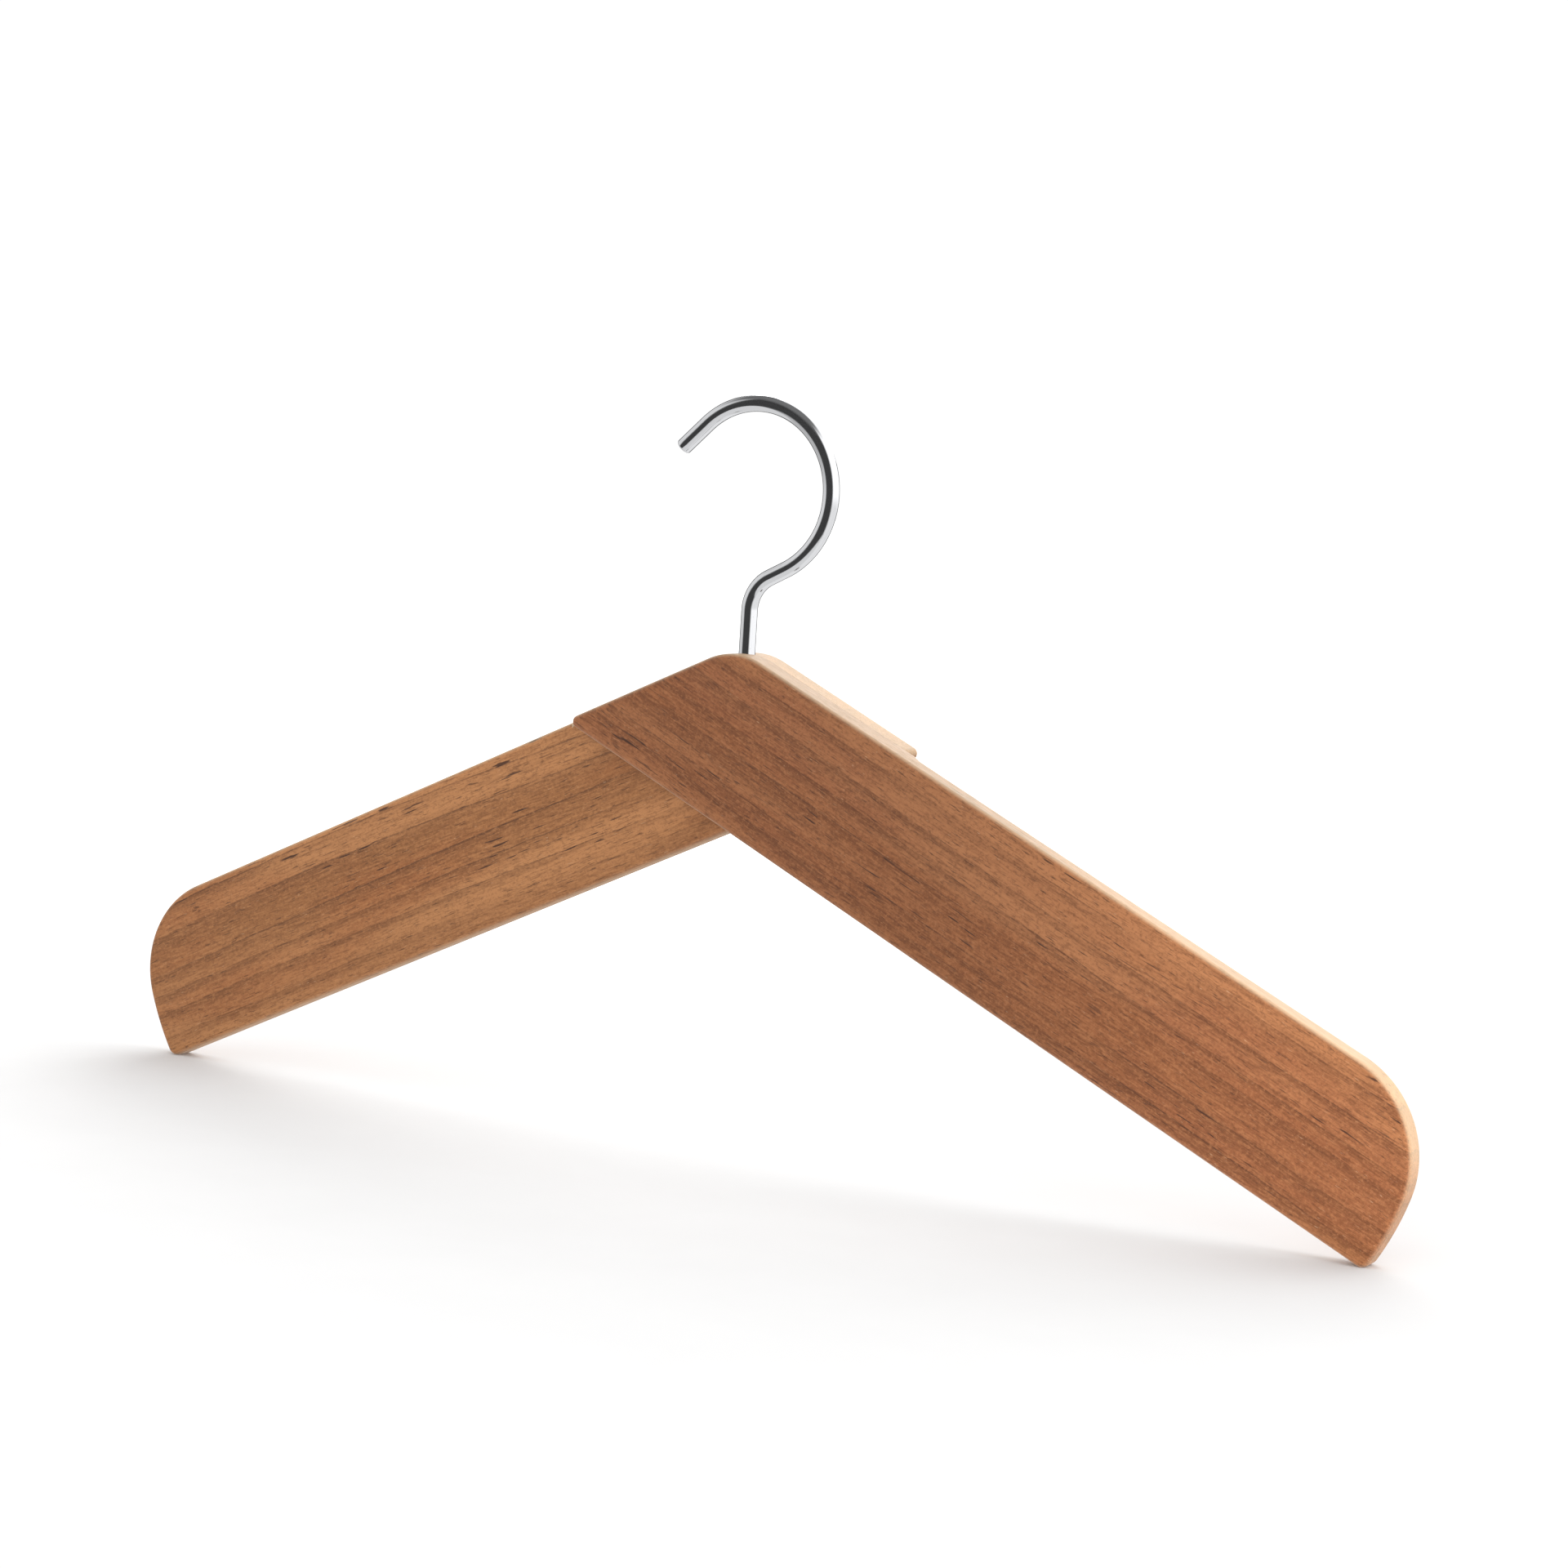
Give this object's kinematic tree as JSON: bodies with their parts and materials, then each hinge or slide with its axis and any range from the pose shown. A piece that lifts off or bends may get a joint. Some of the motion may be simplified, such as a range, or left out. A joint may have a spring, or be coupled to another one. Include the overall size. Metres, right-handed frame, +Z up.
{
  "type": "coat hanger",
  "caption": "Wooden coat hanger: flat boards lapped at the middle, sloping to rounded ends, with a round wire hook that swivels.",
  "frame": {"origin": "the rail seat: the inside of the hook straight above its stem, where the rail carries the hanger", "axes": "+Z up along the stem and its swivel axis, +X to the right along the hanger's width, -Y to the front, which is the face of the board that runs down to the right"},
  "size_m": [0.445, 0.0174, 0.2295],
  "materials": {
    "front_teak": "oiled, fine long grain, darker board",
    "rear_teak": "oiled, fine long grain, lighter board",
    "beech": "plain, hidden",
    "polished_steel": "polished round wire",
    "plated_steel": "plated, hidden",
    "nylon": "plain, hidden"
  },
  "bodies": {
    "hook": {"hook": "polished_steel", "washer": "plated_steel", "lock_nut": "plated_steel", "lock_nut_ring": "nylon"},
    "boards": {"front_board": "front_teak", "rear_board": "rear_teak", "dowel_left": "beech", "dowel_right": "beech", "dowel_low": "beech"}
  },
  "joints": [
    {"name": "hook_swivel", "type": "hinge", "parent": "hook", "child": "boards", "pos_m": [0, 0, -0.0703], "axis": [0, 0, 1], "continuous": true}
  ]
}
